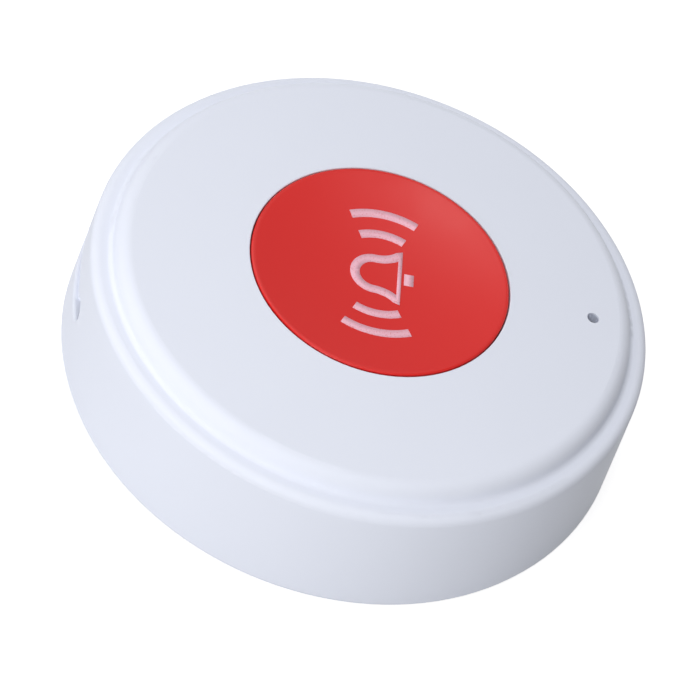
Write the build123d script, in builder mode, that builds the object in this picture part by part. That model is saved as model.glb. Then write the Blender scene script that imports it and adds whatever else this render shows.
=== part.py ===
from build123d import *
from math import radians, sin, sqrt, tan
import os

# Wireless call button for a caregiver, worn on a lanyard or stood on its back.
# Lengths are in millimetres and angles in degrees. The origin is the centre of the
# back face. +Z points out of the red button, +Y to the lanyard slot and -Y to the
# indicator hole.

# Outside of the housing
base_radius = 30.0
wall_lean = 0.8
side_wall = 1.8
cap_wall = 1.6
cap_rise = 2.57
cap_crown = 0.72
cap_slope = 73.0
cap_round = 1.7
foot_round = 0.55
rim_round = 1.0
ledge_width = 1.95
hollow_round = 0.8

# Back cover and the seal round its plug
cover_reveal = 0.6
cover_inset = 0.15
cover_floor = 1.8
cover_fit = 0.2
cover_chamfer = 0.2
plug_height = 1.8
plug_wall = 1.6
groove_start = 0.5
groove_width = 0.7
groove_depth = 0.8
seal_slack = 0.05

# Battery door, its bayonet and its seal
door_recess = 0.15
door_plate = 1.45
door_flange = 0.8
door_overhang = 3.6
door_gap = 0.15
door_round = 0.2
seat_gap = 0.2
neck_wall = 1.4
neck_gap = 0.4
lug_count = 3
lug_gap = 0.1
lug_thickness = 0.7
lug_reach = 1.75
lug_angle = 24.0
lug_start = 30.0
door_turn = 28.0
notch_play = 3.0
stop_angle = 6.0
coin_slot_length = 13.0
coin_slot_width = 1.8
coin_slot_depth = 0.9
door_seal_width = 0.9
door_seal_height = 0.5
door_seal_margin = 0.35
pad_radius = 8.0
pad_width = 1.5

# Coin cell, its holder and its contacts
cell_radius = 10.0
cell_thickness = 3.2
cell_lift = 0.15
cell_fit = 0.2
cell_step = 1.2
cell_step_height = 0.5
holder_wall = 1.4
holder_web = 0.65
peg_radius = 0.55
contact_space = 0.4
contact_thickness = 0.2
contact_touch = 0.02
contact_length = 12.0
contact_width = 4.0
contact_window = 40.0
dimple_radius = 1.2
tail_width = 1.5
tail_height = 0.4

# Circuit board and what stands on it
board_thickness = 1.0
board_gap = 0.4
hole_play = 0.2
switch_size = 6.0
switch_height = 3.5
switch_lid = 0.3
switch_corner = 0.4
switch_bore_radius = 2.4
tab_width = 2.2
tab_drop = 1.3
tab_thickness = 0.25
terminal_width = 0.8
terminal_length = 1.1
terminal_rise = 1.5
terminal_spread = 4.5
plunger_radius = 1.75
plunger_stand = 0.8
plunger_foot = 0.35
plunger_foot_height = 0.6
plunger_gap = 0.1
plunger_travel = 0.3
indicator_margin = 1.2
indicator_length = 1.6
indicator_width = 0.8
indicator_height = 0.6
radio_size = 5.0
radio_height = 0.9
radio_place = (-11.5, 5.5)
crystal_length = 3.2
crystal_width = 2.5
crystal_height = 0.8
crystal_place = (-11.5, -1.0)
antenna_wire = 0.4
antenna_height = 2.2
antenna_bend = 0.9
antenna_margin = 3.3
antenna_start = 115.0
antenna_sweep = 70.0
chip_length = 1.6
chip_width = 0.8
chip_height = 0.55
chip_places = ((-6.0, 8.5), (-6.0, 6.5), (-6.0, 4.5), (-15.5, 1.0), (-12.5, -4.0), (7.0, 6.0))
chip_places_turned = ((7.0, -7.0), (9.0, -7.0), (3.0, -14.0), (5.0, -14.0), (-3.0, -14.0))

# Screws and what they turn into
boss_radius = 2.2
boss_gap = 0.2
boss_seat = 0.05
gusset_width = 1.0
gusset_lift = 0.3
cover_screw_count = 4
cover_screw_radius = 0.95
cover_screw_length = 7.0
cover_head_radius = 1.8
cover_head_height = 0.9
cover_head_sink = 0.2
cover_head_play = 0.3
board_screw_count = 3
board_screw_margin = 3.5
board_screw_radius = 0.75
board_screw_length = 4.5
board_head_radius = 1.6
board_head_height = 1.1
pilot_play = 0.05
pilot_spare = 0.8
driver_slot_length = 2.0
driver_slot_width = 0.45
driver_slot_depth = 0.5

# Call button and the collar that guides it
button_radius = 13.5
button_gap = 0.12
button_wall = 1.3
button_proud = 0.1
button_edge = 0.4
button_round = 0.2
dish_depth = 1.0
skirt_wall = 1.2
stem_radius = 2.4
stem_length = 1.6
press_gap = 0.12
web_count = 6
web_width = 1.0
web_lift = 0.6
flange_reach = 0.9
flange_thickness = 0.8
stop_gap = 0.05
collar_wall = 1.4
collar_depth = 1.45
opening_round = 0.12
key_width = 2.0
key_gap = 0.15
key_drop = 1.6

# Indicator hole and its light guide
pinhole_radius = 0.65
guide_play = 0.08
guide_radius = 1.1
guide_recess = 1.2
guide_standoff = 0.3
socket_wall = 0.9
socket_depth = 3.3

# Lanyard slot in the side wall, with a bar that the cord loops round
slot_height_above_back = 7.0
slot_length = 13.2
slot_height = 2.6
slot_depth = 4.6
slot_round = 0.35
pocket_wall = 1.2
bar_width = 6.9
bar_sink = 0.45
bar_thickness = 1.7
bar_round = 0.5
bar_root = 0.3


def fitted_round(size, room, turn):
    """Fillet radius for a corner that turns by an angle, limited by the room beside it."""
    return min(size, room / tan(radians(turn) / 2))


def crown_height(radius):
    """Height of the crowned cap at a radius: it falls from the button to its shoulder."""
    return crown_top - crown_sphere + sqrt(crown_sphere**2 - radius**2)


def dish_rise(radius):
    """Height of the button's dish at a radius, above its lowest point."""
    sphere = (dish_span**2 + dish_depth**2) / (2 * dish_depth)
    return sphere - sqrt(sphere**2 - radius**2)


def ring_sector(inner, outer, centre, width):
    """Flat sector of a ring between two radii, by its centre angle and its width."""
    first = centre - width / 2
    last = centre + width / 2
    with BuildSketch() as sector:
        with BuildLine():
            wide = CenterArc((0, 0), outer, first, width)
            tight = CenterArc((0, 0), inner, first, width)
            Line(wide @ 0, tight @ 0)
            Line(wide @ 1, tight @ 1)
        make_face()
    return sector.sketch


# Heights, stacked up from the back face
door_seat = door_recess + door_flange + seat_gap
lug_bottom = cover_floor + lug_gap
neck_top = lug_bottom + lug_thickness
cell_bottom = neck_top + cell_lift
cell_top = cell_bottom + cell_thickness
web_bottom = cell_top + contact_space
board_bottom = web_bottom + holder_web
board_top = board_bottom + board_thickness
switch_top = board_top + switch_height
plunger_top = switch_top + plunger_stand
stem_bottom = plunger_top + press_gap
button_inside = stem_bottom + stem_length
dish_bottom = button_inside + button_wall
button_top = dish_bottom + dish_depth
cap_top = button_top - button_proud
ceiling = cap_top - cap_wall
rim_top = cap_top - cap_rise
shoulder_top = cap_top - cap_crown
shoulder_inside = rim_top - side_wall
guide_shelf = ceiling - cap_crown
plug_top = cover_reveal + plug_height
collar_bottom = ceiling - collar_depth
flange_top = collar_bottom - stop_gap
flange_bottom = flange_top - flange_thickness

# Radii, from the wall inwards
rim_radius = base_radius - wall_lean
foot_radius = rim_radius - ledge_width
slope_run = (cap_rise - cap_crown) / tan(radians(cap_slope))
cap_radius = foot_radius - slope_run
hollow_radius = base_radius - side_wall
cover_radius = base_radius - cover_inset
plug_radius = hollow_radius - cover_fit
groove_radius = plug_radius - groove_depth
boss_circle = plug_radius - plug_wall - boss_gap - boss_radius
slot_wall_share = (slot_height_above_back - cover_reveal) / (rim_top - cover_reveal)
slot_wall_radius = base_radius - wall_lean * slot_wall_share
pocket_back = base_radius - slot_depth
board_radius = pocket_back - pocket_wall - board_gap
board_screw_circle = board_radius - board_screw_margin
indicator_circle = board_radius - indicator_margin
antenna_radius = board_radius - antenna_margin
opening_radius = button_radius + button_gap
collar_radius = opening_radius + collar_wall
flange_radius = button_radius + flange_reach
skirt_radius = button_radius - skirt_wall
dish_span = button_radius - button_edge
holder_bore = cell_radius + cell_fit
holder_radius = holder_bore + holder_wall
neck_radius = holder_radius + neck_gap
neck_bore = neck_radius + door_gap
lug_radius = neck_radius + lug_reach
notch_radius = lug_radius + door_gap
door_radius = neck_radius + door_overhang
door_seal_radius = notch_radius + door_seal_margin + door_seal_width
head_recess_radius = cover_head_radius + cover_head_play
head_recess_depth = cover_head_sink + cover_head_height
cover_shank_end = head_recess_depth + cover_screw_length
board_shank_end = board_bottom + board_screw_length
pilot_top = cover_shank_end + pilot_spare
board_pilot_top = board_shank_end + pilot_spare

# Corners of the housing's outline and the sphere that crowns its cap
slope_length = (cap_rise - cap_crown) / sin(radians(cap_slope))
foot_fillet = fitted_round(foot_round, slope_length * 0.3, cap_slope)
rim_fillet = fitted_round(rim_round, ledge_width * 0.6, 90)
cap_fillet = fitted_round(cap_round, slope_length * 0.65, cap_slope)
crown_lever = (cap_radius**2 - opening_radius**2 - cap_crown**2) / (2 * cap_crown)
crown_sphere = sqrt(cap_radius**2 + crown_lever**2)
crown_top = shoulder_top + crown_sphere - sqrt(crown_sphere**2 - cap_radius**2)

# Hollow of the top shell, without the bosses, collar, socket and pocket left standing in it
with BuildPart() as shell_hollow:
    with BuildSketch(Plane.XZ):
        with BuildLine():
            FilletPolyline(
                (hollow_radius, 0),
                (hollow_radius, plug_top),
                (rim_radius - side_wall, shoulder_inside),
                (cap_radius - side_wall, ceiling - cap_crown),
                (collar_radius, ceiling),
                (0, ceiling),
                radius=(0, hollow_round, hollow_round, 0),
            )
            Polyline((0, ceiling), (0, 0), (hollow_radius, 0))
        make_face()
    revolve(axis=Axis.Z)
    # Four bosses for the cover screws, each with a gusset to the wall
    with BuildSketch(Plane.XY.offset(cover_floor + boss_seat)):
        with PolarLocations(boss_circle, cover_screw_count, start_angle=45):
            Circle(boss_radius)
    extrude(amount=ceiling, mode=Mode.SUBTRACT)
    with BuildSketch(Plane.XY.offset(plug_top + gusset_lift)):
        with PolarLocations((boss_circle + base_radius) / 2, cover_screw_count, start_angle=45):
            Rectangle(base_radius - boss_circle, gusset_width)
    extrude(amount=ceiling, mode=Mode.SUBTRACT)
    # Three standoffs that carry the circuit board
    with BuildSketch(Plane.XY.offset(board_top)):
        with PolarLocations(board_screw_circle, board_screw_count, start_angle=90):
            Circle(boss_radius)
    extrude(amount=ceiling, mode=Mode.SUBTRACT)
    # Collar and keys that guide the button
    with BuildSketch(Plane.XY.offset(collar_bottom)):
        Circle(collar_radius)
    extrude(amount=ceiling, mode=Mode.SUBTRACT)
    with BuildSketch(Plane.XY.offset(collar_bottom - key_drop)):
        with PolarLocations((opening_radius + collar_radius) / 2, 2):
            Rectangle(collar_wall, key_width)
    extrude(amount=ceiling, mode=Mode.SUBTRACT)
    # Socket of the light guide
    with BuildSketch(Plane.XY.offset(guide_shelf - socket_depth)):
        with Locations((0, -indicator_circle)):
            Circle(guide_radius + guide_play + socket_wall)
    extrude(amount=ceiling, mode=Mode.SUBTRACT)
    # Closed pocket behind the lanyard slot
    with BuildSketch(Plane.XY.offset(slot_height_above_back - slot_height / 2 - pocket_wall)):
        with Locations((0, pocket_back - pocket_wall)):
            Rectangle(slot_length + 2 * pocket_wall, base_radius, align=(Align.CENTER, Align.MIN))
    extrude(amount=slot_height + 2 * pocket_wall, mode=Mode.SUBTRACT)

# Bar across the lanyard slot, set back from the wall
with BuildPart() as lanyard_bar:
    with BuildSketch(Plane.XY.offset(slot_height_above_back - slot_height / 2 - bar_root)):
        Circle(slot_wall_radius - bar_sink)
        Circle(slot_wall_radius - bar_sink - bar_thickness, mode=Mode.SUBTRACT)
        with Locations((0, base_radius)):
            Rectangle(bar_width, base_radius, mode=Mode.INTERSECT)
    extrude(amount=slot_height + 2 * bar_root)
    fillet(lanyard_bar.edges().filter_by(Axis.Z), bar_round)

# Top shell: leaning wall, flat ledge, raised cap crowned towards the button's opening
with BuildPart() as top_shell:
    with BuildSketch(Plane.XZ) as outline:
        with BuildLine():
            Polyline(
                (opening_radius, cap_top),
                (opening_radius, cover_reveal),
                (base_radius, cover_reveal),
                (rim_radius, rim_top),
                (foot_radius, rim_top),
                (cap_radius, shoulder_top),
            )
            halfway = (opening_radius + cap_radius) / 2
            crown_middle = (halfway, crown_height(halfway))
            ThreePointArc((cap_radius, shoulder_top), crown_middle, (opening_radius, cap_top))
        make_face()
        fillets = {
            rim_radius: rim_fillet,
            foot_radius: foot_fillet,
            cap_radius: cap_fillet,
            opening_radius: opening_round,
        }
        for radius, size in fillets.items():
            corners = outline.vertices().filter_by_position(Axis.X, radius - key_gap, radius + key_gap)
            fillet(corners.sort_by(Axis.Y)[-1], size)
    revolve(axis=Axis.Z)
    add(shell_hollow.part, mode=Mode.SUBTRACT)
    # Indicator hole and the bore of the light guide's socket
    with BuildSketch(Plane.XY.offset(guide_shelf)):
        with Locations((0, -indicator_circle)):
            Circle(pinhole_radius)
    extrude(amount=ceiling, mode=Mode.SUBTRACT)
    with BuildSketch(Plane.XY.offset(guide_shelf)):
        with Locations((0, -indicator_circle)):
            Circle(guide_radius + guide_play)
    extrude(amount=-socket_depth, mode=Mode.SUBTRACT)
    # Pilot holes for the screws
    with BuildSketch(Plane.XY.offset(cover_floor)):
        with PolarLocations(boss_circle, cover_screw_count, start_angle=45):
            Circle(cover_screw_radius + pilot_play)
    extrude(amount=pilot_top - cover_floor, mode=Mode.SUBTRACT)
    with BuildSketch(Plane.XY.offset(board_top)):
        with PolarLocations(board_screw_circle, board_screw_count, start_angle=90):
            Circle(board_screw_radius + pilot_play)
    extrude(amount=board_pilot_top - board_top, mode=Mode.SUBTRACT)
    # Lanyard slot, then the bar across it
    slot_plane = Plane(origin=(0, pocket_back, slot_height_above_back), x_dir=(-1, 0, 0), z_dir=(0, 1, 0))
    with BuildSketch(slot_plane):
        SlotOverall(slot_length, slot_height)
    extrude(amount=slot_depth, mode=Mode.SUBTRACT)
    slot_edges = top_shell.edges(Select.LAST)
    fillet(slot_edges.filter_by_position(Axis.Y, pocket_back + slot_depth / 2, base_radius), slot_round)
    add(lanyard_bar.part)

# Back cover: flush plate, plug with a seal groove, bayonet opening for the battery door
with BuildPart() as back_cover:
    with BuildSketch(Plane.XY):
        Circle(cover_radius)
    extrude(amount=cover_reveal)
    chamfer(back_cover.edges().sort_by(Axis.Z)[0], cover_chamfer)
    with BuildSketch(Plane.XY.offset(cover_reveal)):
        Circle(plug_radius)
    extrude(amount=plug_height)
    with BuildSketch(Plane.XY.offset(cover_floor)):
        Circle(plug_radius - plug_wall)
    extrude(amount=plug_height, mode=Mode.SUBTRACT)
    with BuildSketch(Plane.XY.offset(cover_reveal + groove_start)):
        Circle(plug_radius)
        Circle(groove_radius, mode=Mode.SUBTRACT)
    extrude(amount=groove_width, mode=Mode.SUBTRACT)
    # Stops that end the door's twist
    with BuildSketch(Plane.XY.offset(cover_floor)):
        for turn in range(lug_count):
            stop_centre = lug_start + turn * 360 / lug_count + (lug_angle + stop_angle + notch_play) / 2
            add(ring_sector(neck_bore, notch_radius, stop_centre, stop_angle))
    extrude(amount=lug_gap + lug_thickness)
    # Seat for the door, and a bore with notches that let the lugs out at the end of the twist
    with BuildSketch(Plane.XY):
        Circle(door_radius + door_gap)
    extrude(amount=door_seat, mode=Mode.SUBTRACT)
    with BuildSketch(Plane.XY):
        Circle(neck_bore)
        for turn in range(lug_count):
            notch_centre = lug_start - door_turn + turn * 360 / lug_count
            add(ring_sector(neck_radius, notch_radius, notch_centre, lug_angle + notch_play))
    extrude(amount=cover_floor, mode=Mode.SUBTRACT)
    # Recessed holes for the cover screws
    with Locations(Plane((0, 0, 0), x_dir=(1, 0, 0), z_dir=(0, 0, -1))):
        with PolarLocations(boss_circle, cover_screw_count, start_angle=45):
            shank_hole_radius = cover_screw_radius + hole_play
            CounterBoreHole(shank_hole_radius, head_recess_radius, head_recess_depth, cover_floor)

with BuildPart() as housing_seal:
    with BuildSketch(Plane.XY.offset(cover_reveal + groove_start + seal_slack)):
        Circle(hollow_radius - seal_slack)
        Circle(groove_radius + seal_slack, mode=Mode.SUBTRACT)
    extrude(amount=groove_width - 2 * seal_slack)

# Battery door: flange with a seal groove, coin slot, neck with three lugs, pad for the cell
with BuildPart() as battery_door:
    with BuildSketch(Plane.XY.offset(door_recess)):
        Circle(door_radius)
    extrude(amount=door_flange)
    fillet(battery_door.edges().sort_by(Axis.Z)[0], door_round)
    plate_top = door_recess + door_plate
    with BuildSketch(Plane.XY.offset(door_recess)):
        Circle(neck_radius)
    extrude(amount=door_plate)
    with BuildSketch(Plane.XY.offset(plate_top)):
        Circle(neck_radius)
        Circle(neck_radius - neck_wall, mode=Mode.SUBTRACT)
        Circle(pad_radius)
        Circle(pad_radius - pad_width, mode=Mode.SUBTRACT)
    extrude(amount=neck_top - plate_top)
    with BuildSketch(Plane.XY.offset(lug_bottom)):
        for turn in range(lug_count):
            lug_centre = lug_start + turn * 360 / lug_count
            add(ring_sector(neck_radius - neck_wall / 2, lug_radius, lug_centre, lug_angle))
    extrude(amount=lug_thickness)
    with BuildSketch(Plane.XY.offset(door_seat - seal_slack - door_seal_height)):
        Circle(door_seal_radius + seal_slack)
        Circle(door_seal_radius - door_seal_width - seal_slack, mode=Mode.SUBTRACT)
    extrude(amount=door_seal_height, mode=Mode.SUBTRACT)
    with BuildSketch(Plane.XY.offset(door_recess)):
        SlotOverall(coin_slot_length, coin_slot_width)
    extrude(amount=coin_slot_depth, mode=Mode.SUBTRACT)

with BuildPart() as door_seal:
    with BuildSketch(Plane.XY.offset(door_seat - seal_slack - door_seal_height)):
        Circle(door_seal_radius)
        Circle(door_seal_radius - door_seal_width, mode=Mode.SUBTRACT)
    extrude(amount=door_seal_height)

# Call button: dished face, skirt with a stop flange, stem and webs under the face
with BuildPart() as button_hollow:
    with BuildSketch(Plane.XZ):
        with BuildLine():
            ThreePointArc(
                (0, button_inside),
                (skirt_radius / 2, button_inside + dish_rise(skirt_radius / 2)),
                (skirt_radius, button_inside + dish_rise(skirt_radius)),
            )
            Polyline(
                (skirt_radius, button_inside + dish_rise(skirt_radius)),
                (skirt_radius, flange_bottom),
                (0, flange_bottom),
                (0, button_inside),
            )
        make_face()
    revolve(axis=Axis.Z)
    with BuildSketch(Plane.XY.offset(stem_bottom)):
        Circle(stem_radius)
    extrude(amount=ceiling, mode=Mode.SUBTRACT)
    with BuildSketch(Plane.XY.offset(stem_bottom + web_lift)):
        with PolarLocations(0, web_count // 2):
            Rectangle(2 * button_radius, web_width)
    extrude(amount=ceiling, mode=Mode.SUBTRACT)

with BuildPart() as call_button:
    with BuildSketch(Plane.XZ):
        with BuildLine():
            ThreePointArc(
                (0, dish_bottom),
                (dish_span / 2, dish_bottom + dish_rise(dish_span / 2)),
                (dish_span, button_top),
            )
            FilletPolyline(
                (dish_span, button_top),
                (button_radius, button_top),
                (button_radius, flange_top),
                (flange_radius, flange_top),
                (flange_radius, flange_bottom),
                (0, flange_bottom),
                radius=(button_round, 0, 0, 0),
            )
            Line((0, flange_bottom), (0, dish_bottom))
        make_face()
    revolve(axis=Axis.Z)
    add(button_hollow.part, mode=Mode.SUBTRACT)
    # Notches for the keys that keep the mark upright
    with BuildSketch(Plane.XY.offset(flange_bottom)):
        with PolarLocations(button_radius + flange_reach, 2):
            Rectangle(2 * flange_reach, key_width + 2 * key_gap)
    extrude(amount=flange_thickness, mode=Mode.SUBTRACT)

# Circuit board, cut round the bosses and pierced for screws, pegs and contact tails
with BuildPart() as circuit_board:
    with BuildSketch(Plane.XY.offset(board_bottom)):
        Circle(board_radius)
        with PolarLocations(boss_circle, cover_screw_count, start_angle=45):
            Circle(boss_radius + board_gap, mode=Mode.SUBTRACT)
        with PolarLocations(board_screw_circle, board_screw_count, start_angle=90):
            Circle(board_screw_radius + hole_play, mode=Mode.SUBTRACT)
        with PolarLocations(holder_bore + holder_wall / 2, 2, start_angle=90):
            Circle(peg_radius + hole_play, mode=Mode.SUBTRACT)
        with Locations((cell_radius + contact_touch + contact_thickness / 2, 0)):
            Rectangle(contact_thickness + 2 * hole_play, tail_width + 2 * hole_play, mode=Mode.SUBTRACT)
        with Locations((0, (contact_thickness - contact_length) / 2)):
            Rectangle(tail_width + 2 * hole_play, contact_thickness + 2 * hole_play, mode=Mode.SUBTRACT)
    extrude(amount=board_thickness)

# Push switch: moulded body, metal lid, terminals and plunger
with BuildPart() as switch_body:
    with BuildSketch(Plane.XY.offset(board_top)):
        RectangleRounded(switch_size, switch_size, switch_corner)
    extrude(amount=switch_height - switch_lid)
    foot_drop = plunger_gap + plunger_foot_height + plunger_travel + plunger_gap
    with BuildSketch(Plane.XY.offset(switch_top - switch_lid)):
        Circle(switch_bore_radius)
    extrude(amount=-foot_drop, mode=Mode.SUBTRACT)

with BuildPart() as switch_cover:
    with BuildSketch(Plane.XY.offset(switch_top - switch_lid)):
        RectangleRounded(switch_size, switch_size, switch_corner)
        with GridLocations(0, switch_size + tab_thickness, 1, 2):
            Rectangle(tab_width, tab_thickness)
        Circle(plunger_radius + plunger_gap, mode=Mode.SUBTRACT)
    extrude(amount=switch_lid)
    with BuildSketch(Plane.XY.offset(switch_top - switch_lid)):
        with GridLocations(0, switch_size + tab_thickness, 1, 2):
            Rectangle(tab_width, tab_thickness)
    extrude(amount=-tab_drop)

with BuildPart() as switch_terminals:
    with BuildSketch(Plane.XY.offset(board_top)):
        with GridLocations(switch_size + terminal_length, terminal_spread, 2, 2):
            Rectangle(terminal_length, terminal_width)
    extrude(amount=tab_thickness)
    with BuildSketch(Plane.XY.offset(board_top)):
        with GridLocations(switch_size + tab_thickness, terminal_spread, 2, 2):
            Rectangle(tab_thickness, terminal_width)
    extrude(amount=terminal_rise)

with BuildPart() as switch_plunger:
    foot_bottom = switch_top - switch_lid - plunger_gap - plunger_foot_height
    with BuildSketch(Plane.XY.offset(foot_bottom)):
        Circle(plunger_radius + plunger_foot)
    extrude(amount=plunger_foot_height)
    with BuildSketch(Plane.XY.offset(foot_bottom)):
        Circle(plunger_radius)
    extrude(amount=plunger_top - foot_bottom)

# Indicator and the clear guide that leads its light to the hole
with BuildPart() as indicator_led:
    with BuildSketch(Plane.XY.offset(board_top)):
        with Locations((0, -indicator_circle)):
            Rectangle(indicator_length, indicator_width)
    extrude(amount=indicator_height / 2)
    with BuildSketch(Plane.XY.offset(board_top)):
        with Locations((0, -indicator_circle)):
            Rectangle(indicator_length * 2 / 3, indicator_width)
    extrude(amount=indicator_height)

with BuildPart() as light_guide:
    guide_bottom = board_top + indicator_height + guide_standoff
    with BuildSketch(Plane.XY.offset(guide_bottom)):
        with Locations((0, -indicator_circle)):
            Circle(guide_radius)
    extrude(amount=guide_shelf - guide_bottom)
    with BuildSketch(Plane.XY.offset(guide_shelf)):
        with Locations((0, -indicator_circle)):
            Circle(pinhole_radius - guide_play)
    extrude(amount=crown_height(indicator_circle) - guide_recess - guide_shelf)

# Battery holder: cup over the cell, window for the side contact, pegs into the board
with BuildPart() as battery_holder:
    with BuildSketch(Plane.XY.offset(cell_bottom)):
        Circle(holder_radius)
    extrude(amount=board_bottom - cell_bottom)
    with BuildSketch(Plane.XY.offset(cell_bottom)):
        Circle(holder_bore)
    extrude(amount=web_bottom - cell_bottom, mode=Mode.SUBTRACT)
    with BuildSketch(Plane.XY.offset(cell_bottom)):
        add(ring_sector(cell_radius - contact_thickness, holder_radius + holder_wall, 0, contact_window))
    extrude(amount=board_bottom - cell_bottom, mode=Mode.SUBTRACT)
    with BuildSketch(Plane.XY.offset(web_bottom)):
        with Locations((0, (contact_thickness - contact_length) / 2)):
            Rectangle(tail_width + 2 * hole_play, contact_thickness + 2 * hole_play)
    extrude(amount=holder_web, mode=Mode.SUBTRACT)
    with BuildSketch(Plane.XY.offset(board_bottom)):
        with PolarLocations(holder_bore + holder_wall / 2, 2, start_angle=90):
            Circle(peg_radius)
    extrude(amount=board_thickness)

with BuildPart() as coin_cell:
    with BuildSketch(Plane.XY.offset(cell_bottom)):
        Circle(cell_radius)
    extrude(amount=cell_thickness - cell_step_height)
    with BuildSketch(Plane.XY.offset(cell_top - cell_step_height)):
        Circle(cell_radius - cell_step)
    extrude(amount=cell_step_height)

with BuildPart() as negative_contact:
    strip_bottom = web_bottom - contact_thickness
    with BuildSketch(Plane.XY.offset(strip_bottom)):
        Rectangle(contact_width, contact_length)
    extrude(amount=contact_thickness)
    with BuildSketch(Plane.XY.offset(cell_top + contact_touch)):
        Circle(dimple_radius)
    extrude(amount=strip_bottom - cell_top - contact_touch)
    with BuildSketch(Plane.XY.offset(strip_bottom)):
        with Locations((0, (contact_thickness - contact_length) / 2)):
            Rectangle(tail_width, contact_thickness)
    extrude(amount=board_top + tail_height - strip_bottom)

with BuildPart() as positive_contact:
    with BuildSketch(Plane.XY.offset(cell_bottom + tail_height)):
        with Locations((cell_radius + contact_touch, 0)):
            Rectangle(contact_thickness, contact_width, align=(Align.MIN, Align.CENTER))
    extrude(amount=board_bottom - cell_bottom - tail_height)
    with BuildSketch(Plane.XY.offset(board_bottom)):
        with Locations((cell_radius + contact_touch, 0)):
            Rectangle(contact_thickness, tail_width, align=(Align.MIN, Align.CENTER))
    extrude(amount=board_thickness + tail_height)

# Radio parts
with BuildPart() as radio_chip:
    with BuildSketch(Plane.XY.offset(board_top)):
        with Locations(radio_place):
            Rectangle(radio_size, radio_size)
    extrude(amount=radio_height)

with BuildPart() as crystal:
    with BuildSketch(Plane.XY.offset(board_top)):
        with Locations(crystal_place):
            RectangleRounded(crystal_length, crystal_width, crystal_height / 2)
    extrude(amount=crystal_height)

with BuildPart() as loop_antenna:
    with BuildLine() as antenna_path:
        loop = CenterArc((0, 0, board_top + antenna_height), antenna_radius, antenna_start, antenna_sweep)
        near_leg = loop @ 0 - loop % 0 * antenna_bend - Vector(0, 0, antenna_bend)
        far_leg = loop @ 1 + loop % 1 * antenna_bend - Vector(0, 0, antenna_bend)
        TangentArc(near_leg, loop @ 0, tangent=(0, 0, 1))
        TangentArc(far_leg, loop @ 1, tangent=(0, 0, 1))
        Line((near_leg.X, near_leg.Y, board_top), near_leg)
        Line((far_leg.X, far_leg.Y, board_top), far_leg)
    with BuildSketch(Plane.XY.offset(board_top)):
        with Locations((near_leg.X, near_leg.Y)):
            Circle(antenna_wire)
    sweep(path=antenna_path.wire())

with BuildPart() as chip_components:
    with BuildSketch(Plane.XY.offset(board_top)):
        with Locations(*chip_places):
            Rectangle(chip_length, chip_width)
        with Locations(*chip_places_turned):
            Rectangle(chip_width, chip_length)
    extrude(amount=chip_height)

# Screws, heads towards the back
with BuildPart() as cover_screws:
    with BuildSketch(Plane.XY.offset(cover_head_sink)):
        with PolarLocations(boss_circle, cover_screw_count, start_angle=45):
            Circle(cover_head_radius)
    extrude(amount=cover_head_height)
    with BuildSketch(Plane.XY.offset(head_recess_depth)):
        with PolarLocations(boss_circle, cover_screw_count, start_angle=45):
            Circle(cover_screw_radius)
    extrude(amount=cover_screw_length)
    with BuildSketch(Plane.XY.offset(cover_head_sink)):
        with PolarLocations(boss_circle, cover_screw_count, start_angle=45):
            Rectangle(driver_slot_length, driver_slot_width)
            Rectangle(driver_slot_width, driver_slot_length)
    extrude(amount=driver_slot_depth, mode=Mode.SUBTRACT)

with BuildPart() as board_screws:
    with BuildSketch(Plane.XY.offset(board_bottom - board_head_height)):
        with PolarLocations(board_screw_circle, board_screw_count, start_angle=90):
            Circle(board_head_radius)
    extrude(amount=board_head_height)
    with BuildSketch(Plane.XY.offset(board_bottom)):
        with PolarLocations(board_screw_circle, board_screw_count, start_angle=90):
            Circle(board_screw_radius)
    extrude(amount=board_screw_length)
    with BuildSketch(Plane.XY.offset(board_bottom - board_head_height)):
        with PolarLocations(board_screw_circle, board_screw_count, start_angle=90):
            Rectangle(driver_slot_length, driver_slot_width)
            Rectangle(driver_slot_width, driver_slot_length)
    extrude(amount=driver_slot_depth, mode=Mode.SUBTRACT)

# Write each piece to a file of its own
pieces = {
    "top_shell": top_shell,
    "back_cover": back_cover,
    "housing_seal": housing_seal,
    "battery_door": battery_door,
    "door_seal": door_seal,
    "call_button": call_button,
    "circuit_board": circuit_board,
    "switch_body": switch_body,
    "switch_cover": switch_cover,
    "switch_terminals": switch_terminals,
    "switch_plunger": switch_plunger,
    "indicator_led": indicator_led,
    "light_guide": light_guide,
    "battery_holder": battery_holder,
    "coin_cell": coin_cell,
    "negative_contact": negative_contact,
    "positive_contact": positive_contact,
    "radio_chip": radio_chip,
    "crystal": crystal,
    "loop_antenna": loop_antenna,
    "chip_components": chip_components,
    "cover_screws": cover_screws,
    "board_screws": board_screws,
}
os.makedirs("parts", exist_ok=True)
for name, piece in pieces.items():
    piece.part.label = name
    export_step(piece.part, f"parts/{name}.step")
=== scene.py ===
"""Looks of the caregiver pager: its finishes, the printed bell, the studio and the camera.

Lengths are in metres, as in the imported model. Sizes of the object's own pieces are given in
millimetres and turned into metres by MM.
"""

import enum
import logging
import math
from dataclasses import dataclass, field

import bpy
from mathutils import Matrix, Vector


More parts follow.
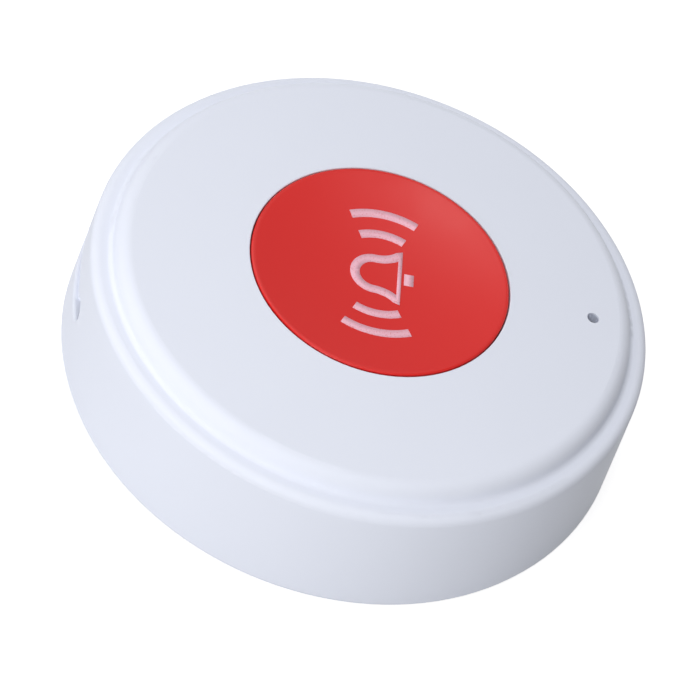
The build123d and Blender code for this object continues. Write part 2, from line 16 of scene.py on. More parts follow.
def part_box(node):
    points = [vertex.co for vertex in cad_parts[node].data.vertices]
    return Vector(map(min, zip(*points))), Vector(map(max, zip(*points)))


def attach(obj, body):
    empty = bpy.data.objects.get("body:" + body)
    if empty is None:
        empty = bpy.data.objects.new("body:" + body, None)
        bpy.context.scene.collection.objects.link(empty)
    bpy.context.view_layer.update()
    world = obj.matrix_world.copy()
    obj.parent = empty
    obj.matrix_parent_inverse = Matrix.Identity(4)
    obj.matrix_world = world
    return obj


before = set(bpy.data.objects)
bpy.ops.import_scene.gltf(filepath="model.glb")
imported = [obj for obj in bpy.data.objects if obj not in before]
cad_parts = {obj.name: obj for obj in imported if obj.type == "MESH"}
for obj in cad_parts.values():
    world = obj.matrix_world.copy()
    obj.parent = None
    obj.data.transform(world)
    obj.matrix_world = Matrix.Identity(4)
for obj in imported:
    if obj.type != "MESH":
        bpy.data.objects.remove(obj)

MM = 0.001
LOG = logging.getLogger("pager")

Colour = tuple[float, float, float]
Point = tuple[float, float]
Place = tuple[float, float, float]
Node = bpy.types.Node
NodeTree = bpy.types.NodeTree
Socket = bpy.types.NodeSocket

# Numbers of a Mix node's sockets for colours, whose names it uses for other kinds as well.
MIX_SHARE, MIX_FIRST, MIX_SECOND, MIX_RESULT = 0, 6, 7, 2


def from_srgb(red: int, green: int, blue: int) -> Colour:
    """Turn an 8-bit sRGB colour into a linear one.

    Args:
        red: Red, 0 to 255.
        green: Green, 0 to 255.
        blue: Blue, 0 to 255.

    Returns:
        The linear colour.
    """
    def linear(value: int) -> float:
        """One channel, undone from the sRGB curve."""
        share = value / 255
        return share / 12.92 if share <= 0.04045 else ((share + 0.055) / 1.055) ** 2.4

    return linear(red), linear(green), linear(blue)


def add_socket(
    group: NodeTree, name: str, way: str, kind: str, value: float | None = None,
) -> None:
    """Add a named socket to a node group.

    Args:
        group: The node group.
        name: The socket's name.
        way: "INPUT" or "OUTPUT".
        kind: The socket's type, such as "NodeSocketFloat".
        value: Its default value, if it has one.
    """
    made = group.interface.new_socket(name=name, in_out=way, socket_type=kind)
    if value is not None:
        made.default_value = value


def opaque(colour: object) -> object:
    """Give a plain colour its fourth channel, and leave a socket as it is."""
    return colour if isinstance(colour, Socket) else (*colour, 1.0)


class Tree:
    """Short ways to add and link nodes in one node tree."""

    def __init__(self, tree: NodeTree) -> None:
        """Keep the tree that nodes are added to."""
        self.tree = tree

    def add(
        self, kind: str, inputs: dict[str | int, object] | None = None, **settings: object,
    ) -> Node:
        """Add a node, set its properties and fill or link its inputs.

        Args:
            kind: The node's type name.
            inputs: Values or output sockets, by input name or number.
            **settings: Properties of the node itself.

        Returns:
            The new node.
        """
        node = self.tree.nodes.new(kind)
        for name, value in settings.items():
            setattr(node, name, value)
        for name, value in (inputs or {}).items():
            if isinstance(value, Socket):
                self.tree.links.new(value, node.inputs[name])
            else:
                node.inputs[name].default_value = value
        return node

    def value_math(self, operation: str, first: object, second: object = 0.0) -> Socket:
        """Add a Math node and give its result."""
        return self.add("ShaderNodeMath", {0: first, 1: second}, operation=operation).outputs[0]

    def ramp(self, value: object, low: float, high: float, start: float, end: float) -> Socket:
        """Map a value from one range to another, clamped.

        Args:
            value: The value.
            low: Value at which the result is start.
            high: Value at which the result is end.
            start: Result at low and beyond it.
            end: Result at high and beyond it.

        Returns:
            The mapped value.
        """
        ends = {"From Min": low, "From Max": high, "To Min": start, "To Max": end}
        return self.add("ShaderNodeMapRange", {"Value": value, **ends}).outputs[0]

    def noise(self, place: Socket, scale: object, detail: float, roughness: float = 0.5) -> Socket:
        """Add a noise texture.

        Args:
            place: Where the texture is read.
            scale: How many of its features go into a metre.
            detail: Number of finer layers.
            roughness: How strong the finer layers are.

        Returns:
            Its value.
        """
        inputs = {"Vector": place, "Scale": scale, "Detail": detail, "Roughness": roughness}
        return self.add("ShaderNodeTexNoise", inputs).outputs[0]

    def blend(self, share: object, first: object, second: object) -> Socket:
        """Blend two colours, each given as a plain colour or a socket.

        Args:
            share: Share of the second colour, 0 to 1.
            first: The first colour.
            second: The second colour.

        Returns:
            The blended colour.
        """
        inputs = {MIX_SHARE: share, MIX_FIRST: opaque(first), MIX_SECOND: opaque(second)}
        return self.add("ShaderNodeMix", inputs, data_type="RGBA").outputs[MIX_RESULT]

    def object_place(self) -> Socket:
        """Give the place in the piece's own coordinates, from which every pattern is read."""
        return self.add("ShaderNodeTexCoord").outputs["Object"]


class SharedEffect(enum.Enum):
    """Effects that more than one finish uses, each a node group built once."""

    GRAIN = "fine_grain"
    EDGES = "edge_wear"
    SPECKS = "dust_specks"

    def group(self) -> NodeTree:
        """Give the effect's node group, built at its first use.

        Returns:
            The node group.
        """
        builders = {
            SharedEffect.GRAIN: grain_group,
            SharedEffect.EDGES: edge_group,
            SharedEffect.SPECKS: speck_group,
        }
        return bpy.data.node_groups.get(self.value) or builders[self]()


def grain_group() -> NodeTree:
    """Build the grain of a moulded or cast surface.

    Returns:
        A group with a fine Height, for bump, and a broad Mottle, for colour and roughness.
    """
    group = bpy.data.node_groups.new(SharedEffect.GRAIN.value, "ShaderNodeTree")
    add_socket(group, "Grain Size", "INPUT", "NodeSocketFloat", 0.12)
    add_socket(group, "Mottle Size", "INPUT", "NodeSocketFloat", 4.0)
    add_socket(group, "Height", "OUTPUT", "NodeSocketFloat")
    add_socket(group, "Mottle", "OUTPUT", "NodeSocketFloat")
    tree = Tree(group)
    inputs = tree.add("NodeGroupInput").outputs
    place = tree.object_place()
    fine_scale = tree.value_math("DIVIDE", 1 / MM, inputs["Grain Size"])
    broad_scale = tree.value_math("DIVIDE", 1 / MM, inputs["Mottle Size"])
    fine = tree.noise(place, fine_scale, detail=3.0, roughness=0.6)
    broad = tree.noise(place, broad_scale, detail=2.0)
    tree.add("NodeGroupOutput", {"Height": fine, "Mottle": broad})
    return group


def edge_group() -> NodeTree:
    """Build the mask of edges that hands and pockets rub.

    Returns:
        A group whose Mask is 1 on the sharpest edges and 0 on flat surfaces.
    """
    wear_starts, wear_full = 0.98, 0.75
    break_size = 0.9 * MM
    group = bpy.data.node_groups.new(SharedEffect.EDGES.value, "ShaderNodeTree")
    add_socket(group, "Width", "INPUT", "NodeSocketFloat", 0.2 * MM)
    add_socket(group, "Mask", "OUTPUT", "NodeSocketFloat")
    tree = Tree(group)
    width = tree.add("NodeGroupInput").outputs["Width"]
    rounded = tree.add("ShaderNodeBevel", {"Radius": width}, samples=4).outputs[0]
    true_normal = tree.add("ShaderNodeNewGeometry").outputs["Normal"]
    normals = {0: rounded, 1: true_normal}
    likeness = tree.add("ShaderNodeVectorMath", normals, operation="DOT_PRODUCT").outputs["Value"]
    turned = tree.ramp(likeness, wear_starts, wear_full, 0.0, 1.0)
    broken = tree.noise(tree.object_place(), 1 / break_size, detail=3.0)
    tree.add("NodeGroupOutput", {"Mask": tree.value_math("MULTIPLY", turned, broken)})
    return group


def speck_group() -> NodeTree:
    """Build the mask of the few dust specks that stick to pale plastic.

    Returns:
        A group whose Mask is 1 in sparse small dots.
    """
    dot_inside, dot_outside = 0.03, 0.05
    group = bpy.data.node_groups.new(SharedEffect.SPECKS.value, "ShaderNodeTree")
    add_socket(group, "Spacing", "INPUT", "NodeSocketFloat", 3.0)
    add_socket(group, "Share", "INPUT", "NodeSocketFloat", 0.06)
    add_socket(group, "Mask", "OUTPUT", "NodeSocketFloat")
    tree = Tree(group)
    inputs = tree.add("NodeGroupInput").outputs
    scale = tree.value_math("DIVIDE", 1 / MM, inputs["Spacing"])
    cells = tree.add("ShaderNodeTexVoronoi", {"Vector": tree.object_place(), "Scale": scale})
    dot = tree.ramp(cells.outputs["Distance"], dot_inside, dot_outside, 1.0, 0.0)
    pick = tree.add("ShaderNodeSeparateColor", {0: cells.outputs["Color"]}).outputs[0]
    chosen = tree.value_math("LESS_THAN", pick, inputs["Share"])
    tree.add("NodeGroupOutput", {"Mask": tree.value_math("MULTIPLY", dot, chosen)})
    return group


def effect(tree: Tree, kind: SharedEffect, **values: float) -> Node:
    """Place a shared effect in a material.

    Args:
        tree: The material's tree.
        kind: Which effect.
        **values: Its inputs, with underscores for spaces.

    Returns:
        The group node.
    """
    node = tree.add("ShaderNodeGroup", node_tree=kind.group())
    for name, value in values.items():
        node.inputs[name.replace("_", " ")].default_value = value
    return node


def faded(colour: Colour, gain: float, lift: float = 0.0) -> Colour:
    """A colour made darker or paler: each channel times a gain, plus a lift, up to 1."""
    return tuple(min(1.0, channel * gain + lift) for channel in colour)


@dataclass(frozen=True)
class Finish:
    """A surface finish, which every material of the pager is made from.

    Attributes:
        name: Name of the material.
        colour: Its linear base colour.
        roughness: How matt it is, 0 to 1.
        metal: True for a bare metal.
        grain: Size of its fine grain in millimetres.
        grain_depth: Depth of that grain in millimetres.
        mottle: Size of its broad unevenness in millimetres.
        mottle_depth: How much the broad unevenness darkens the colour.
        roughness_play: How much the broad unevenness changes the roughness.
        wear: How much rubbed edges lighten.
        specks: Share of the spots that carry a dust speck.
        specular: Strength of the plain gloss.
        coat: Weight of a clear coat.
        clearness: Transmission weight.
        worn_gain: How many times paler a fully rubbed edge is.
        worn_lift: What is added to its colour besides.
        speck_shade: How dark a dust speck is against the colour.
        mottle_range: Values of the broad unevenness between which the roughness changes.
    """

    name: str
    colour: Colour
    roughness: float = 0.4
    metal: bool = False
    grain: float = 0.12
    grain_depth: float = 0.004
    mottle: float = 4.0
    mottle_depth: float = 0.03
    roughness_play: float = 0.08
    wear: float = 0.0
    specks: float = 0.0
    specular: float = 0.5
    coat: float = 0.0
    clearness: float = 0.0
    worn_gain: float = 1.3
    worn_lift: float = 0.03
    speck_shade: float = 0.35
    mottle_range: tuple[float, float] = (0.3, 0.7)

    def material(self) -> bpy.types.Material:
        """Build the finish's material at its first use.

        Returns:
            The material.
        """
        label = f"finish_{self.name}"
        known = bpy.data.materials.get(label)
        if known:
            return known
        made = bpy.data.materials.new(label)
        made.use_nodes = True
        made.node_tree.nodes.clear()
        tree = Tree(made.node_tree)
        grain = effect(tree, SharedEffect.GRAIN, Grain_Size=self.grain, Mottle_Size=self.mottle)
        colour, height = self.surface(tree, grain)
        if self.wear:
            edges = effect(tree, SharedEffect.EDGES).outputs["Mask"]
            worn = faded(self.colour, self.worn_gain, self.worn_lift)
            colour = tree.blend(tree.value_math("MULTIPLY", edges, self.wear), colour, worn)
        if self.specks:
            dots = effect(tree, SharedEffect.SPECKS, Share=self.specks).outputs["Mask"]
            colour = tree.blend(dots, colour, faded(self.colour, self.speck_shade))
        smooth, matt = self.roughness - self.roughness_play, self.roughness + self.roughness_play
        rough = tree.ramp(grain.outputs["Mottle"], *self.mottle_range, smooth, matt)
        relief = {"Height": height, "Distance": self.grain_depth * MM, "Strength": 1.0}
        shader = tree.add("ShaderNodeBsdfPrincipled", {
            "Base Color": colour,
            "Roughness": rough,
            "Metallic": 1.0 if self.metal else 0.0,
            "Normal": tree.add("ShaderNodeBump", relief).outputs[0],
            "Specular IOR Level": self.specular,
            "Coat Weight": self.coat,
            "Transmission Weight": self.clearness,
        })
        tree.add("ShaderNodeOutputMaterial", {"Surface": shader.outputs[0]})
        return made

    def surface(self, tree: Tree, grain: Node) -> tuple[Socket, Socket]:
        """Colour and bump height, which other kinds of finish make in their own way.

        Args:
            tree: The material's tree.
            grain: The grain group in it.

        Returns:
            The colour and the height.
        """
        dark = faded(self.colour, 1 - self.mottle_depth)
        return tree.blend(grain.outputs["Mottle"], self.colour, dark), grain.outputs["Height"]


@dataclass(frozen=True)
class PrintFinish(Finish):
    """Ink printed by pad or screen, through which the colour below shows in pinholes.

    Attributes:
        below: Linear colour of the plastic under the ink.
        cover: Share of the grain that the ink covers.
        softness: How softly a pinhole starts.
        thinness: How much of the colour below a pinhole shows.
    """

    below: Colour = (0.5, 0.05, 0.05)
    cover: float = 0.62
    softness: float = 0.08
    thinness: float = 0.7

    def surface(self, tree: Tree, grain: Node) -> tuple[Socket, Socket]:
        """Colour with pinholes, and the height of the ink's grain.

        Args:
            tree: The material's tree.
            grain: The grain group in it.

        Returns:
            The colour and the height.
        """
        rim, middle = self.cover - self.softness, self.cover + self.softness
        bare = tree.ramp(grain.outputs["Height"], rim, middle, 0.0, self.thinness)
        return tree.blend(bare, self.colour, self.below), grain.outputs["Height"]


@dataclass(frozen=True)
class BrushedFinish(Finish):
    """Rolled or drawn metal, with fine lines along one axis.

    Attributes:
        stretch: How many times longer than wide a line is.
    """

    stretch: float = 14.0

    def surface(self, tree: Tree, grain: Node) -> tuple[Socket, Socket]:
        """Colour and height with lines along X.

        Args:
            tree: The material's tree.
            grain: The grain group in it, which the lines replace here.

        Returns:
            The colour and the height.
        """
        longer = {"Vector": tree.object_place(), "Scale": (1 / self.stretch, 1.0, 1.0)}
        place = tree.add("ShaderNodeMapping", longer).outputs[0]
        lines = tree.noise(place, 1 / (self.grain * MM), detail=2.0)
        return tree.blend(lines, self.colour, faded(self.colour, 1 - self.mottle_depth)), lines


@dataclass(frozen=True)
class BoardFinish(Finish):
    """Solder mask over copper, whose straight tracks show through it in bent bands.

    Attributes:
        copper: Linear colour of the mask where copper lies under it.
        track: Distance between the points that the tracks run round, in millimetres.
        fold: Share of that distance at which the first track's middle lies.
        bank: Shares of that distance between which a track rises from the board.
    """

    copper: Colour = (0.03, 0.25, 0.10)
    track: float = 2.2
    fold: float = 0.25
    bank: tuple[float, float] = (0.16, 0.2)

    def surface(self, tree: Tree, grain: Node) -> tuple[Socket, Socket]:
        """Colour and height with tracks.

        Args:
            tree: The material's tree.
            grain: The grain group in it, which the tracks replace here.

        Returns:
            The colour and the height.
        """
        inputs = {"Vector": tree.object_place(), "Scale": 1 / (self.track * MM)}
        cells = tree.add("ShaderNodeTexVoronoi", inputs, distance="MANHATTAN", feature="F1")
        folded = tree.value_math("PINGPONG", cells.outputs["Distance"], self.fold)
        track = tree.ramp(folded, *self.bank, 0.0, 1.0)
        return tree.blend(track, self.colour, self.copper), track


WHITE_SHELL = Finish(
    "white_shell", from_srgb(227, 231, 243), roughness=0.5, specular=0.15, grain=0.10,
    grain_depth=0.0012, mottle=9.0, mottle_depth=0.012, roughness_play=0.03, wear=0.10,
    specks=0.004,
)
WHITE_COVER = Finish(
    "white_cover", from_srgb(221, 225, 237), roughness=0.5, grain=0.16, grain_depth=0.004,
    mottle=7.0, mottle_depth=0.02, roughness_play=0.05, wear=0.12, specks=0.01,
)
RED_BUTTON = Finish(
    "red_button", from_srgb(212, 19, 13), roughness=0.34, specular=0.36, grain=0.11,
    grain_depth=0.0014, mottle=6.0, mottle_depth=0.04, roughness_play=0.04, wear=0.12,
    specks=0.004,
)
PINK_PRINT = PrintFinish(
    "pink_print", from_srgb(232, 178, 194), roughness=0.45, grain=0.16, grain_depth=0.004,
    mottle=3.0, roughness_play=0.05, below=from_srgb(214, 90, 96),
)
SEAL_RUBBER = Finish(
    "seal_rubber", (0.018, 0.018, 0.02), roughness=0.72, grain=0.09, grain_depth=0.006,
    mottle=2.0, mottle_depth=0.25, wear=0.2,
)
BOARD_GREEN = BoardFinish(
    "board_green", (0.008, 0.11, 0.035), roughness=0.3, grain=0.2, grain_depth=0.012, coat=0.4,
)
BLACK_MOULDING = Finish(
    "black_moulding", (0.022, 0.022, 0.025), roughness=0.5, grain=0.14, grain_depth=0.005,
    mottle_depth=0.2, wear=0.3,
)
CHIP_BLACK = Finish(
    "chip_black", (0.014, 0.014, 0.015), roughness=0.62, grain=0.06, grain_depth=0.006,
    mottle_depth=0.3, wear=0.15,
)
TINNED_STEEL = BrushedFinish(
    "tinned_steel", (0.62, 0.62, 0.64), roughness=0.3, metal=True, grain=0.08,
    grain_depth=0.002, mottle_depth=0.18,
)
CELL_STEEL = BrushedFinish(
    "cell_steel", (0.66, 0.66, 0.67), roughness=0.26, metal=True, grain=0.12,
    grain_depth=0.0015, mottle_depth=0.12,
)
CRYSTAL_CAN = Finish(
    "crystal_can", (0.74, 0.73, 0.70), roughness=0.16, metal=True, grain=0.3,
    grain_depth=0.002, mottle_depth=0.1,
)
SCREW_STEEL = Finish(
    "screw_steel", (0.58, 0.58, 0.57), roughness=0.3, metal=True, grain=0.12,
    grain_depth=0.003, mottle_depth=0.2, wear=0.3,
)
ANTENNA_WIRE = BrushedFinish(
    "antenna_wire", (0.72, 0.50, 0.22), roughness=0.24, metal=True, grain=0.1,
    grain_depth=0.001, mottle_depth=0.2,
)
CHIP_CERAMIC = Finish(
    "chip_ceramic", (0.20, 0.12, 0.06), roughness=0.55, grain=0.08, grain_depth=0.004,
    mottle_depth=0.3, wear=0.4,
)
LED_RESIN = Finish(
    "led_resin", (0.75, 0.72, 0.45), roughness=0.25, grain=0.1, grain_depth=0.001, coat=0.5,
)
CLEAR_GUIDE = Finish(
    "clear_guide", (0.80, 0.84, 0.86), roughness=0.12, grain=0.2, grain_depth=0.001,
    clearness=0.9,
)


@dataclass
class CarriedNodes:
    """CAD nodes of one sub-assembly that keep their shape and get a finish.

    Attributes:
        finishes: The finish of each node.
    """

    finishes: dict[str, Finish] = field(default_factory=dict)

    def dress(self) -> None:
        """Put each node's finish in its material slots."""
        for node, finish in self.finishes.items():
            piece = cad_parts[node]
            for place in piece.material_slots:
                place.material = finish.material()
            LOG.info("dressed %s in %s", node, finish.name)


@dataclass
class Housing(CarriedNodes):
    """The white shell, the back cover and what closes them."""

    finishes: dict[str, Finish] = field(default_factory=lambda: {
        "top_shell": WHITE_SHELL,
        "back_cover": WHITE_COVER,
        "housing_seal": SEAL_RUBBER,
        "battery_door": WHITE_COVER,
        "door_seal": SEAL_RUBBER,
        "cover_screws": SCREW_STEEL,
        "light_guide": CLEAR_GUIDE,
    })


@dataclass
class Electronics(CarriedNodes):
    """The board, what stands on it, and the coin cell in its holder."""

    finishes: dict[str, Finish] = field(default_factory=lambda: {
        "circuit_board": BOARD_GREEN,
        "switch_body": BLACK_MOULDING,
        "switch_cover": TINNED_STEEL,
        "switch_terminals": TINNED_STEEL,
        "switch_plunger": BLACK_MOULDING,
        "indicator_led": LED_RESIN,
        "battery_holder": BLACK_MOULDING,
        "coin_cell": CELL_STEEL,
        "negative_contact": TINNED_STEEL,
        "positive_contact": TINNED_STEEL,
        "radio_chip": CHIP_BLACK,
        "crystal": CRYSTAL_CAN,
        "loop_antenna": ANTENNA_WIRE,
        "chip_components": CHIP_CERAMIC,
        "board_screws": SCREW_STEEL,
    })


@dataclass
class CallButton(CarriedNodes):
    """The red button and the bell printed on its dished face.

    Attributes:
        radius: Radius of the button in millimetres.
        edge: Width of its flat edge round the dish in millimetres.
        dish: Depth of the dish in millimetres.
        stroke: Width of the printed lines in millimetres.
        ink: Height of the ink above the face in millimetres.
        root: How far the ink reaches into the face in millimetres.
        bell_top: Height of the bell's crown above the button's centre in millimetres.
        bell_waist: Half the bell's width under its crown in millimetres.
        bell_curve: Height over the lip from which the bell flares in millimetres.
        bell_flare: Half the bell's width at its lip in millimetres.
        bell_lip: Height of the lip against the button's centre in millimetres.
        clapper: Half the clapper's width in millimetres.
        clapper_drop: How far it hangs under the lip in millimetres.
        ring_reaches: Radii of the arcs that show it ringing, in millimetres.
        ring_half: Half the angle of those arcs in degrees.
    """

    finishes: dict[str, Finish] = field(default_factory=lambda: {"call_button": RED_BUTTON})
    radius: float = 13.5
    edge: float = 0.4
    dish: float = 1.0
    stroke: float = 1.0
    ink: float = 0.03
    root: float = 0.05
    bell_top: float = 2.55
    bell_waist: float = 2.05
    bell_curve: float = 1.05
    bell_flare: float = 3.1
    bell_lip: float = -2.1
    clapper: float = 0.75
    clapper_drop: float = 1.0
    ring_reaches: tuple[float, ...] = (5.3, 7.9)
    ring_half: float = 26.0

    def sphere(self) -> float:
        """Radius of the sphere that the dish is cut with, in millimetres."""
        span = self.radius - self.edge
        return (span**2 + self.dish**2) / (2 * self.dish)

    def bell_lines(self) -> list[list[Point]]:
        """Draw the centre lines of the bell and its ringing, with X across and Y up.

        Returns:
            One list of points in millimetres for each line, closed if it ends where it starts.
        """
        waist, lip = self.bell_waist, self.bell_lip
        shoulder = self.bell_top - waist
        right = arc_points((0.0, shoulder), waist, 90.0, 0.0)
        pull = (waist, lip + self.bell_curve)
        right += curve_points((waist, shoulder), pull, (self.bell_flare, lip))
        left = [(-across, up) for across, up in reversed(right)]
        outline = right + left
        hung = lip - self.clapper_drop
        lines = [outline + outline[:1], [(-self.clapper, hung), (self.clapper, hung)]]
        for reach in self.ring_reaches:
            for middle in (0.0, 180.0):
                start, end = middle - self.ring_half, middle + self.ring_half
                lines.append(arc_points((0.0, 0.0), reach, start, end))
        return lines

    def print_bell(self) -> bpy.types.Object:
        """Print the bell on the dish.

        Returns:
            The printed piece.
        """
        curve = bpy.data.curves.new("bell_lines", "CURVE")
        curve.dimensions = "3D"
        for points in self.bell_lines():
            closed = points[0] == points[-1]
            used = points[:-1] if closed else points
            spline = curve.splines.new("POLY")
            spline.points.add(len(used) - 1)
            spline.use_cyclic_u = closed
            for place, (across, up) in zip(spline.points, used):
                place.co = (across * MM, up * MM, 0.0, 1.0)
        guide = bpy.data.objects.new("bell_lines", curve)
        bpy.context.scene.collection.objects.link(guide)
        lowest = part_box("call_button")[1].z - self.dish * MM
        values = {
            "Stroke Width": self.stroke * MM,
            "Ink Height": self.ink * MM,
            "Ink Root": self.root * MM,
            "Dish Sphere": self.sphere() * MM,
            "Dish Bottom": lowest,
        }
        return grown_piece(guide, printed_lines_tree(PINK_PRINT.material()), values, "bell_mark")


def arc_points(
    centre: Point, radius: float, start: float, end: float, steps: int = 24,
) -> list[Point]:
    """Points along an arc.

    Args:
        centre: The arc's centre.
        radius: Its radius.
        start: Its first angle in degrees.
        end: Its last angle in degrees.
        steps: Number of spans.

    Returns:
        The points, both ends included.
    """
    points = []
    for step in range(steps + 1):
        angle = math.radians(start + (end - start) * step / steps)
        points.append((centre[0] + radius * math.cos(angle), centre[1] + radius * math.sin(angle)))
    return points


def curve_points(first: Point, pull: Point, last: Point, steps: int = 16) -> list[Point]:
    """Points along a quadratic curve, without its first point.

    Args:
        first: Where the curve starts.
        pull: The point that pulls it.
        last: Where it ends.
        steps: Number of spans.

    Returns:
        The points after the first.
    """
    points = []
    for step in range(1, steps + 1):
        share = step / steps
        weights = ((1 - share) ** 2, 2 * share * (1 - share), share**2)
        x, y = (
            sum(weight * point[axis] for weight, point in zip(weights, (first, pull, last)))
            for axis in (0, 1)
        )
        points.append((x, y))
    return points


def printed_lines_tree(ink: bpy.types.Material) -> NodeTree:
    """Geometry nodes that turn centre lines into ink lying on a dished face.

    Args:
        ink: The ink's material.

    Returns:
        The node tree.
    """
    group = bpy.data.node_groups.new("printed_lines", "GeometryNodeTree")
    add_socket(group, "Lines", "INPUT", "NodeSocketGeometry")
    for name in ("Stroke Width", "Ink Height", "Ink Root", "Dish Sphere", "Dish Bottom"):
        add_socket(group, name, "INPUT", "NodeSocketFloat", 0.001)
    add_socket(group, "Ink", "OUTPUT", "NodeSocketGeometry")
    tree = Tree(group)
    inputs = tree.add("NodeGroupInput").outputs
    upright = tree.add("GeometryNodeSetCurveNormal", {"Curve": inputs["Lines"]}, mode="Z_UP")
    depth = tree.value_math("ADD", inputs["Ink Height"], inputs["Ink Root"])
    sides = {"Width": inputs["Stroke Width"], "Height": depth}
    section = tree.add("GeometryNodeCurvePrimitiveQuadrilateral", sides)
    ribbon = tree.add("GeometryNodeCurveToMesh", {
        "Curve": upright.outputs[0], "Profile Curve": section.outputs[0], "Fill Caps": True,
    })
    position = tree.add("GeometryNodeInputPosition").outputs[0]
    place = tree.add("ShaderNodeSeparateXYZ", {0: position}).outputs
    across = tree.value_math("MULTIPLY", place[0], place[0])
    along = tree.value_math("MULTIPLY", place[1], place[1])
    reach = tree.value_math("ADD", across, along)
    sphere = tree.value_math("MULTIPLY", inputs["Dish Sphere"], inputs["Dish Sphere"])
    drop = tree.value_math("SQRT", tree.value_math("SUBTRACT", sphere, reach))
    rise = tree.value_math("SUBTRACT", inputs["Dish Sphere"], drop)
    surplus = tree.value_math("SUBTRACT", inputs["Ink Height"], inputs["Ink Root"])
    middle = tree.value_math("DIVIDE", surplus, 2.0)
    lift = tree.value_math("ADD", tree.value_math("ADD", rise, inputs["Dish Bottom"]), middle)
    offset = tree.add("ShaderNodeCombineXYZ", {"Z": lift}).outputs[0]
    laid = tree.add("GeometryNodeSetPosition", {"Geometry": ribbon.outputs[0], "Offset": offset})
    real = tree.add("GeometryNodeRealizeInstances", {0: laid.outputs[0]})
    inked = tree.add("GeometryNodeSetMaterial", {"Geometry": real.outputs[0], "Material": ink})
    tree.add("NodeGroupOutput", {"Ink": inked.outputs[0]})
    return group


def grown_piece(
    seed: bpy.types.Object, tree: NodeTree, values: dict[str, float], name: str,
) -> bpy.types.Object:
    """Run a geometry node tree on a seed object and keep the result as a plain mesh piece.

    Args:
        seed: The object that the tree starts from, which is removed.
        tree: The geometry node tree.
        values: The tree's inputs by name.
        name: Name of the piece.

    Returns:
        The new piece.
    """
    modifier = seed.modifiers.new("grow", "NODES")
    modifier.node_group = tree
    items = tree.interface.items_tree
    places = {item.name: item.identifier for item in items if item.in_out == "INPUT"}
    for label, value in values.items():
        modifier[places[label]] = value
    bpy.context.view_layer.update()
    evaluated = seed.evaluated_get(bpy.context.evaluated_depsgraph_get())
    mesh = bpy.data.meshes.new_from_object(evaluated)
    mesh.name = name
    piece = bpy.data.objects.new(name, mesh)
    bpy.context.scene.collection.objects.link(piece)
    bpy.data.objects.remove(seed)
    return piece


@dataclass(frozen=True)
class Softbox:
    """A square area light aimed at the object.

    Attributes:
        name: Its name.
        towards: Direction from the object to the light.
        distance: Its distance in metres.
        side: Its side in metres.
        power: Its power in watts.
    """

    name: str
    towards: Place
    distance: float
    side: float
    power: float

    def place(self, aim: Vector) -> None:
        """Hang the light and point it.

        Args:
            aim: The point that it lights.
        """
        lamp = bpy.data.lights.new(self.name, "AREA")
        lamp.energy = self.power
        lamp.size = self.side
        holder = bpy.data.objects.new(self.name, lamp)
        holder.visible_camera = False
        bpy.context.scene.collection.objects.link(holder)
        away = Vector(self.towards).normalized()
        holder.location = aim + away * self.distance
        holder.rotation_euler = away.to_track_quat("Z", "Y").to_euler()


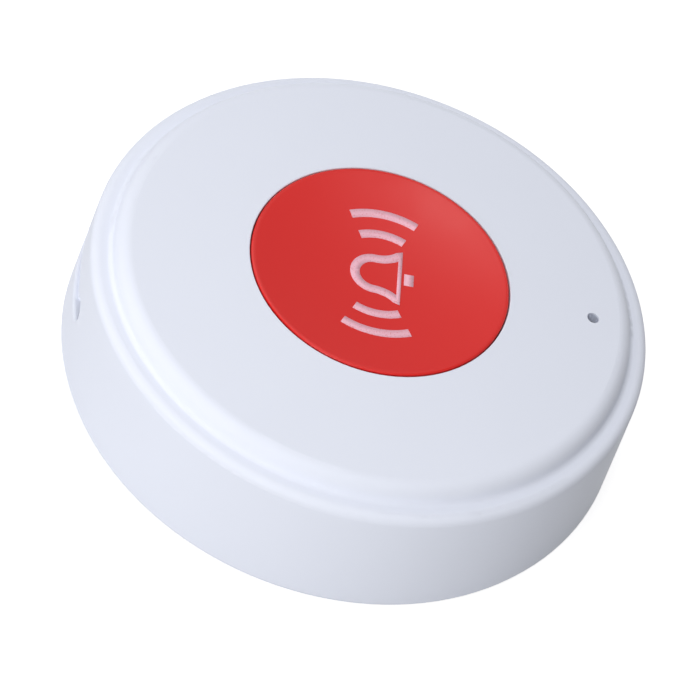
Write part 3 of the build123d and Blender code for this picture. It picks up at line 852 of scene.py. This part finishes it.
@dataclass
class Studio:
    """The plain pale floor, the soft lights and the camera at the photograph's angle.

    Attributes:
        azimuth: Camera direction in degrees; 0 looks along +Y.
        elevation: Camera height above the horizon in degrees.
        roll: Turn of the camera about its own axis in degrees.
        distance: Distance from the aim in metres.
        aim: The point that the camera looks at, in metres.
        lens: Focal length in millimetres.
        sensor: Width of the camera's sensor in millimetres.
        nearest: Distance from which the camera sees, in metres.
        ambient: Strength of the light that comes from all round.
        floor_half: Half the side of the floor in metres.
        floor_drop: How far the floor lies below the back face in metres.
        floor_shade: How pale the floor is, 0 to 1.
        floor_glow: Extra light of the floor, seen directly or in a gloss, that lights nothing.
        softboxes: The area lights.
    """

    azimuth: float = 256.91
    elevation: float = 48.66
    roll: float = 21.83
    distance: float = 0.28687
    aim: Place = (-0.00332, 0.00203, 0.008)
    lens: float = 148.24
    sensor: float = 36.0
    nearest: float = 0.01
    ambient: float = 0.28
    floor_half: float = 3.0
    floor_drop: float = 0.00002
    floor_shade: float = 0.43
    floor_glow: float = 0.78
    softboxes: tuple[Softbox, ...] = (
        Softbox("side_softbox", (-0.85, 0.45, 0.13), distance=0.5, side=0.18, power=1.27),
        Softbox("top_softbox", (-0.38, 0.16, 0.91), distance=0.35, side=0.30, power=0.46),
        Softbox("back_softbox", (0.48, 0.38, 0.79), distance=0.5, side=0.35, power=0.60),
        Softbox("left_softbox", (0.30, 0.90, 0.22), distance=0.5, side=0.25, power=0.43),
        Softbox("sheen_softbox", (0.42, -0.02, 0.90), distance=0.5, side=0.08, power=0.26),
    )

    def place_camera(self) -> None:
        """Create the camera and make it the scene's own."""
        camera = bpy.data.cameras.new("camera")
        camera.sensor_width = self.sensor
        camera.lens = self.lens
        camera.clip_start = self.nearest
        camera.dof.use_dof = False
        holder = bpy.data.objects.new("camera", camera)
        bpy.context.scene.collection.objects.link(holder)
        turn = math.radians(self.azimuth)
        height = math.radians(self.elevation)
        flat = math.cos(height)
        back = Vector((math.sin(turn) * flat, -math.cos(turn) * flat, math.sin(height)))
        level = Matrix.Rotation(turn, 4, "Z") @ Matrix.Rotation(math.pi / 2 - height, 4, "X")
        spin = Matrix.Rotation(math.radians(self.roll), 4, "Z")
        shift = Matrix.Translation(Vector(self.aim) + back * self.distance)
        holder.matrix_world = shift @ level @ spin
        bpy.context.scene.camera = holder

    def lay_floor(self) -> None:
        """Lay the floor, which shows white but keeps the object's shadow."""
        half = self.floor_half
        mesh = bpy.data.meshes.new("floor")
        signs = ((-1, -1), (1, -1), (1, 1), (-1, 1))
        corners = [(x * half, y * half, -self.floor_drop) for x, y in signs]
        mesh.from_pydata(corners, [], [(0, 1, 2, 3)])
        floor = bpy.data.objects.new("floor", mesh)
        bpy.context.scene.collection.objects.link(floor)
        finish = bpy.data.materials.new("floor_white")
        finish.use_nodes = True
        finish.node_tree.nodes.clear()
        tree = Tree(finish.node_tree)
        plain = tree.add("ShaderNodeBsdfDiffuse", {"Color": (*[self.floor_shade] * 3, 1.0)})
        strength = tree.value_math("MULTIPLY", self.seen_directly(tree), self.floor_glow)
        glow = tree.add("ShaderNodeEmission", {"Strength": strength})
        both = tree.add("ShaderNodeAddShader", {0: plain.outputs[0], 1: glow.outputs[0]})
        tree.add("ShaderNodeOutputMaterial", {"Surface": both.outputs[0]})
        mesh.materials.append(finish)

    @staticmethod
    def seen_directly(tree: Tree) -> Socket:
        """Tell rays from the camera, a gloss or a clear piece from the rest.

        Args:
            tree: The material's or world's tree.

        Returns:
            A value that is 1 for those rays and 0 for the rest.
        """
        path = tree.add("ShaderNodeLightPath").outputs
        shiny = tree.value_math("MAXIMUM", path["Is Glossy Ray"], path["Is Transmission Ray"])
        return tree.value_math("MAXIMUM", path["Is Camera Ray"], shiny)

    def fill_world(self) -> None:
        """Give the world its even light, and white where it is seen."""
        world = bpy.data.worlds.new("studio")
        world.use_nodes = True
        world.node_tree.nodes.clear()
        tree = Tree(world.node_tree)
        seen = self.seen_directly(tree)
        strength = tree.ramp(seen, 0.0, 1.0, self.ambient, 1.0)
        white = (1.0, 1.0, 1.0, 1.0)
        sky = tree.add("ShaderNodeBackground", {"Color": white, "Strength": strength})
        tree.add("ShaderNodeOutputWorld", {"Surface": sky.outputs[0]})
        bpy.context.scene.world = world

    def build(self) -> None:
        """Set up floor, world, lights, camera and the plain view transform."""
        self.lay_floor()
        self.fill_world()
        for softbox in self.softboxes:
            softbox.place(Vector(self.aim))
        self.place_camera()
        bpy.context.scene.view_settings.view_transform = "Standard"
        LOG.info("studio built")


def main() -> None:
    """Dress the pager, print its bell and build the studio."""
    logging.basicConfig(level=logging.INFO, format="%(name)s: %(message)s")
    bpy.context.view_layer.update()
    Housing().dress()
    Electronics().dress()
    button = CallButton()
    button.dress()
    mark = button.print_bell()
    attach(mark, "button")
    LOG.info("printed %s with %d faces", mark.name, len(mark.data.polygons))
    Studio().build()


if __name__ == "__main__":
    main()
